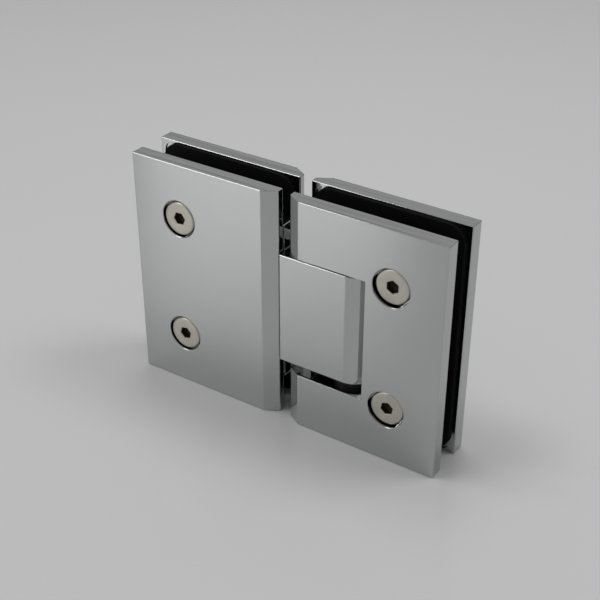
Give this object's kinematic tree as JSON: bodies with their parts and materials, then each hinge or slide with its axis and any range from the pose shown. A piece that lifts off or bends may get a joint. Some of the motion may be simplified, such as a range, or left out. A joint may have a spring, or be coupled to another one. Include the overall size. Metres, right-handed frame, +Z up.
{
  "type": "glass-to-glass shower hinge",
  "caption": "Chrome hinge that hangs a frameless glass door on a fixed glass panel: chamfered clamp plates, black gaskets, and a rounded pivot block with a sprung pin.",
  "frame": {"origin": "middle of the hinge's box: half height, half the glass thickness, half the gap between the leaves", "axes": "+X from the fixed leaf to the door leaf, +Y from the front plates to the back plates, +Z up along the pin"},
  "size_m": [0.1254, 0.0218, 0.09],
  "materials": {
    "chrome": "polished chrome plate on brass",
    "satin_stainless": "satin stainless steel, turned face",
    "gasket_rubber": "smooth black rubber",
    "inner_steel": "plain machined steel",
    "brass": "machined brass",
    "blackened_brass": "brass blackened by an oxide bath",
    "nylon": "black nylon"
  },
  "bodies": {
    "fixed_leaf": {"fixed_front_plate": "chrome", "fixed_back_plate": "chrome", "fixed_front_gasket": "gasket_rubber", "fixed_back_gasket": "gasket_rubber", "fixed_clamp_screws": "satin_stainless", "fixed_screw_sleeves": "nylon", "pivot_block": "chrome", "block_screws": "inner_steel", "upper_bush": "nylon", "lower_bush": "nylon", "upper_thrust_washer": "nylon", "lower_thrust_washer": "nylon", "upper_detent_spring": "inner_steel", "lower_detent_spring": "inner_steel", "upper_spring_adjuster": "inner_steel", "lower_spring_adjuster": "inner_steel"},
    "door_leaf": {"door_front_plate": "chrome", "door_back_plate": "chrome", "door_front_gasket": "gasket_rubber", "door_back_gasket": "gasket_rubber", "door_clamp_screws": "satin_stainless", "door_screw_sleeves": "nylon", "pivot_pin": "inner_steel", "upper_pin_carrier": "blackened_brass", "lower_pin_carrier": "blackened_brass", "carrier_screws": "inner_steel", "pin_set_screws": "inner_steel"},
    "upper_plunger": {"upper_detent_plunger": "brass"},
    "lower_plunger": {"lower_detent_plunger": "brass"}
  },
  "joints": [
    {"name": "door_swing", "type": "hinge", "parent": "fixed_leaf", "child": "door_leaf", "pos_m": [0.0243, 0, 0], "axis": [0, 0, 1], "range_deg": [-90, 90]},
    {"name": "upper_detent", "type": "slide", "parent": "fixed_leaf", "child": "upper_plunger", "axis": [1, 0, 0], "range_m": [0, 0.001], "stiffness_N_per_m": 4000, "springref_m": 0.003, "deforming": ["upper_detent_spring"]},
    {"name": "lower_detent", "type": "slide", "parent": "fixed_leaf", "child": "lower_plunger", "axis": [1, 0, 0], "range_m": [0, 0.001], "stiffness_N_per_m": 4000, "springref_m": 0.003, "deforming": ["lower_detent_spring"]}
  ]
}
